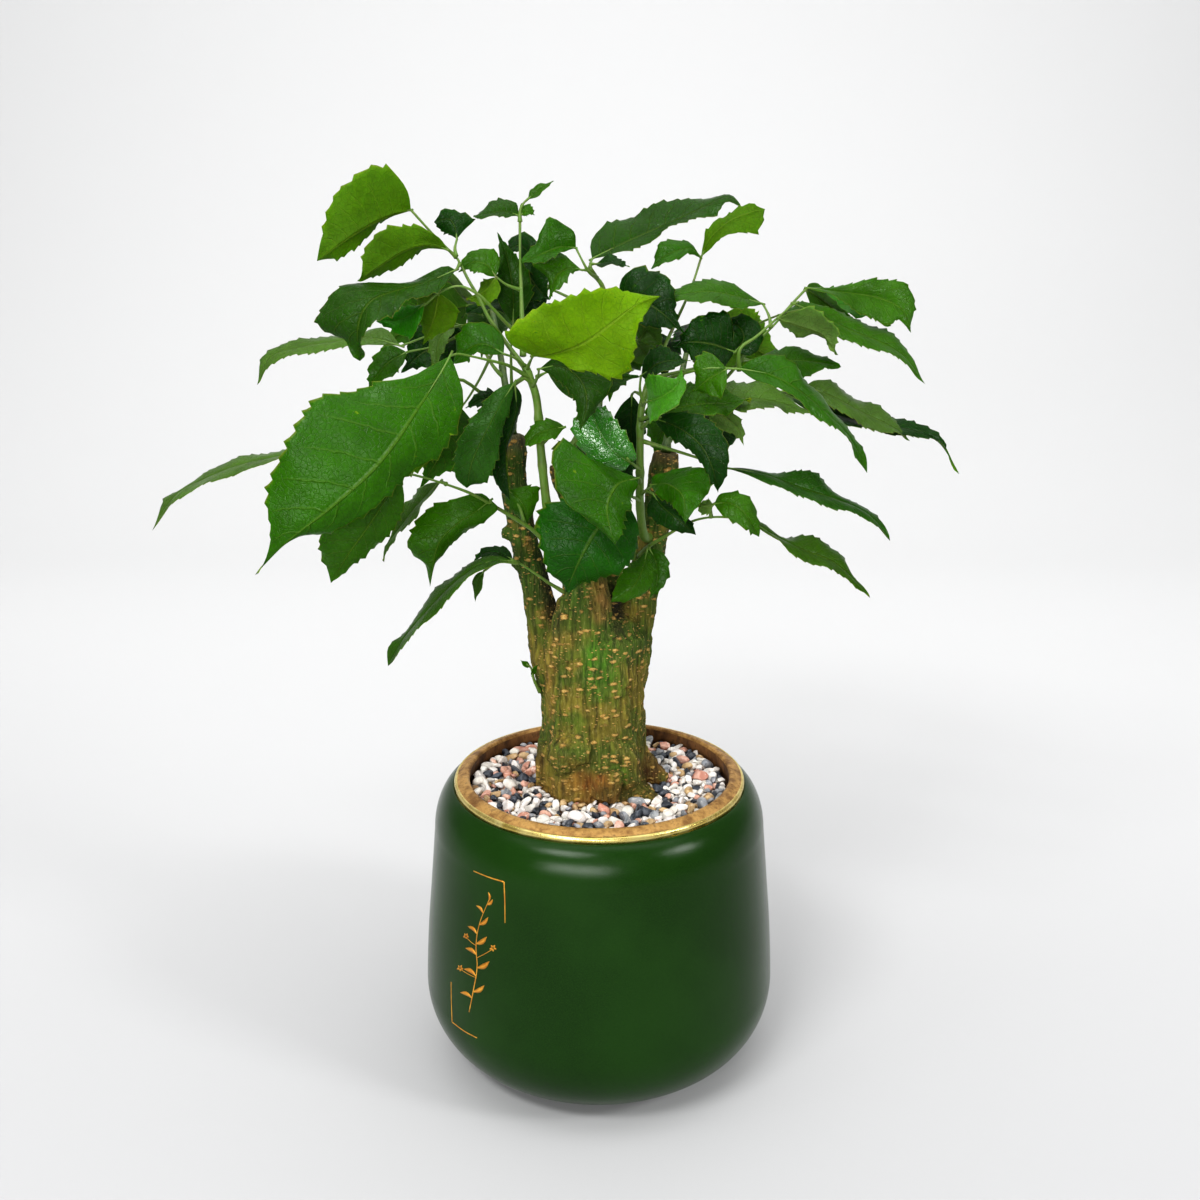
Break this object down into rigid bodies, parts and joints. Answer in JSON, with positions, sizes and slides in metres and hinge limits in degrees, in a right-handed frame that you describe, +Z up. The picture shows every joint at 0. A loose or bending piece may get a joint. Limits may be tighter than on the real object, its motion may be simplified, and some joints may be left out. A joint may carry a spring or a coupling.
{
  "type": "potted plant",
  "caption": "Potted china doll plant: stout cut-back trunk with leafy green shoots, standing in a round-shouldered glazed ceramic pot topped with gravel.",
  "frame": {"origin": "centre of the pot's flat base, on the surface it stands on", "axes": "+Z up along the pot's axis, -Y towards the front of the plant, +X to the right seen from the front"},
  "size_m": [0.3477, 0.2431, 0.3898],
  "materials": {
    "green_glaze": "gloss",
    "potting_soil": "matte",
    "gravel": "matte",
    "bark": "matte",
    "green_shoot": "satin",
    "leaf_dark": "satin",
    "leaf_mid": "satin",
    "leaf_bright": "satin",
    "leaf_lit": "satin",
    "leaf_sage": "satin",
    "leaf_olive": "satin"
  },
  "bodies": {
    "root": {"pot": "green_glaze", "soil": "potting_soil", "gravel": "gravel", "trunk": "bark", "shoot_front_left": "green_shoot", "shoot_right": "green_shoot", "shoot_centre": "green_shoot", "shoot_back_left": "green_shoot", "shoot_back_right": "green_shoot", "shoot_back_centre": "green_shoot", "leaf_upright_dark": "leaf_dark", "leaf_behind_tall": "leaf_dark", "leaf_right_curly": "leaf_dark", "leaf_centre_back_dark": "leaf_dark", "leaf_centre_vertical": "leaf_dark", "leaf_right_dark": "leaf_dark", "leaf_right_horizontal": "leaf_dark", "leaf_left_cluster": "leaf_dark", "leaf_back_a": "leaf_dark", "leaf_back_c": "leaf_dark", "leaf_back_e": "leaf_dark", "leaf_back_h": "leaf_dark", "leaf_front_low": "leaf_dark", "leaf_hanging_blue": "leaf_dark", "leaf_arch_centre": "leaf_dark", "leaf_right_high": "leaf_dark", "leaf_centre_top_right": "leaf_dark", "leaf_left": "leaf_mid", "leaf_left_tall": "leaf_mid", "leaf_mid_low": "leaf_mid", "leaf_mid_side": "leaf_mid", "leaf_back_b": "leaf_mid", "leaf_back_d": "leaf_mid", "leaf_back_f": "leaf_mid", "leaf_back_g": "leaf_mid", "leaf_far_right_low": "leaf_mid", "leaf_right_under": "leaf_mid", "side_sprout": "leaf_mid", "leaf_front_glossy": "leaf_mid", "leaf_giant": "leaf_bright", "leaf_bright_fold": "leaf_bright", "leaf_front_centre": "leaf_bright", "leaf_front_right": "leaf_bright", "leaf_right_broad": "leaf_bright", "leaf_centre_top_left": "leaf_bright", "leaf_top_left": "leaf_lit", "leaf_lit_big": "leaf_lit", "leaf_top_right": "leaf_lit", "leaf_right_behind_pair": "leaf_lit", "leaf_right_curl_pale": "leaf_lit", "leaf_left_long": "leaf_sage", "leaf_far_left": "leaf_sage", "leaf_low_left": "leaf_sage", "leaf_right_sage": "leaf_sage", "leaf_left_olive": "leaf_olive", "leaf_low_right": "leaf_olive", "leaf_right_mid_back": "leaf_olive"}
  },
  "joints": []
}
